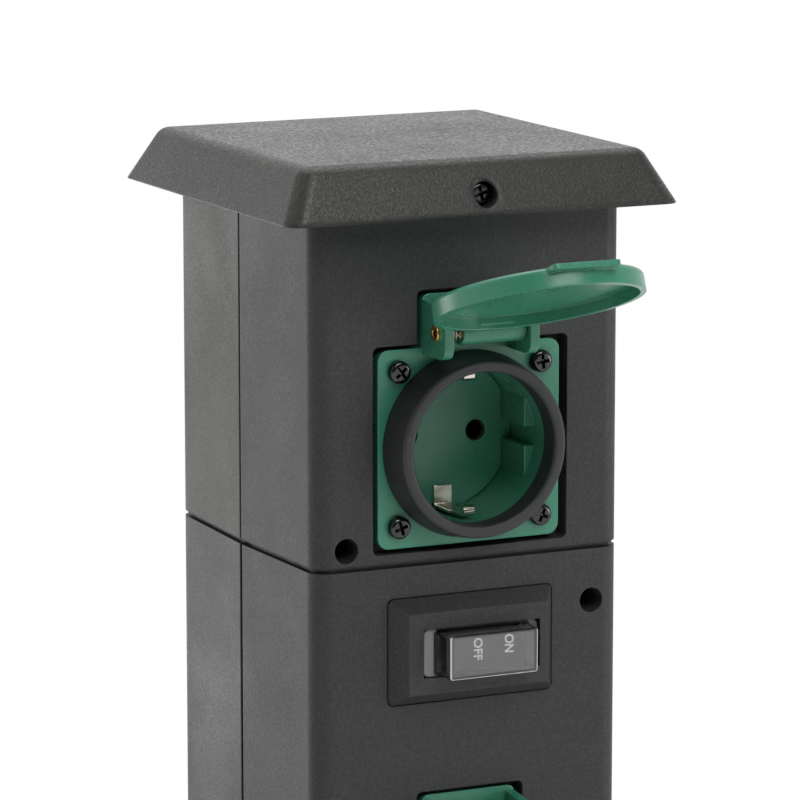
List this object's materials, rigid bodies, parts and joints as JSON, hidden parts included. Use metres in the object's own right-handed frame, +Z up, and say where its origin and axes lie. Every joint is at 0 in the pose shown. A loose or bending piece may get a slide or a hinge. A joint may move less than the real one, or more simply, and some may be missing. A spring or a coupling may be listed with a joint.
{
  "type": "garden socket post",
  "caption": "Square outdoor socket post with a drip cap, earthed sockets under hinged lids, a covered rocker switch, a cable gland and a screw-down foot.",
  "frame": {"origin": "centre of the foot's underside, on the post's axis", "axes": "+Z up, -Y out of the front face with the sockets, +X to the right as seen from the front"},
  "size_m": [0.114, 0.1677, 0.2822],
  "materials": {
    "housing": "fine grain",
    "cap": "fine grain",
    "screws": "black oxide",
    "green": "satin",
    "rubber": "matt",
    "carrier": "matt",
    "brass": "plain",
    "nickel": "nickel plated",
    "clear": "clear, soft",
    "black_plastic": "satin",
    "wire_live": "plain",
    "wire_neutral": "plain",
    "wire_earth": "plain"
  },
  "bodies": {
    "post": {"foot": "housing", "foot_screws": "screws", "lower_front_shell": "housing", "lower_rear_shell": "housing", "lower_shell_screws": "screws", "upper_front_shell": "housing", "upper_rear_shell": "housing", "upper_shell_screws": "screws", "cap": "cap", "cap_screws": "screws", "upper_socket_body": "green", "upper_socket_gasket": "rubber", "upper_seal_ring": "rubber", "upper_socket_screws": "screws", "upper_contact_plate": "green", "upper_contact_carrier": "carrier", "upper_contact_sleeves": "brass", "upper_earth_clip": "nickel", "upper_hinge_pin": "brass", "upper_hinge_spring": "nickel", "lower_socket_body": "green", "lower_socket_gasket": "rubber", "lower_seal_ring": "rubber", "lower_socket_screws": "screws", "lower_contact_plate": "green", "lower_contact_carrier": "carrier", "lower_contact_sleeves": "brass", "lower_earth_clip": "nickel", "lower_hinge_pin": "brass", "lower_hinge_spring": "nickel", "switch_bezel": "housing", "switch_cover": "clear", "switch_body": "black_plastic", "switch_terminals": "brass", "gland_body": "black_plastic", "gland_nut": "black_plastic", "gland_seal": "rubber", "gland_locknut": "black_plastic", "terminal_block": "carrier", "terminal_screws": "nickel", "wire_live": "wire_live", "wire_neutral": "wire_neutral", "wire_earth": "wire_earth"},
    "upper_lid_body": {"upper_lid": "green"},
    "lower_lid_body": {"lower_lid": "green"},
    "rocker_body": {"rocker": "black_plastic"}
  },
  "joints": [
    {"name": "upper_lid_hinge", "type": "hinge", "parent": "post", "child": "upper_lid_body", "pos_m": [0, -0.05, 0.24], "axis": [-1, 0, 0], "range_deg": [-110.6, 4.4], "stiffness_Nm_per_rad": 0.004, "springref_deg": -126.05},
    {"name": "lower_lid_hinge", "type": "hinge", "parent": "post", "child": "lower_lid_body", "pos_m": [0, -0.05, 0.1128], "axis": [-1, 0, 0], "range_deg": [0, 115], "stiffness_Nm_per_rad": 0.004, "springref_deg": -15.47},
    {"name": "rocker_tilt", "type": "hinge", "parent": "post", "child": "rocker_body", "pos_m": [0.0009, -0.0445, 0.1591], "axis": [0, 0, 1], "range_deg": [0, 14]}
  ]
}
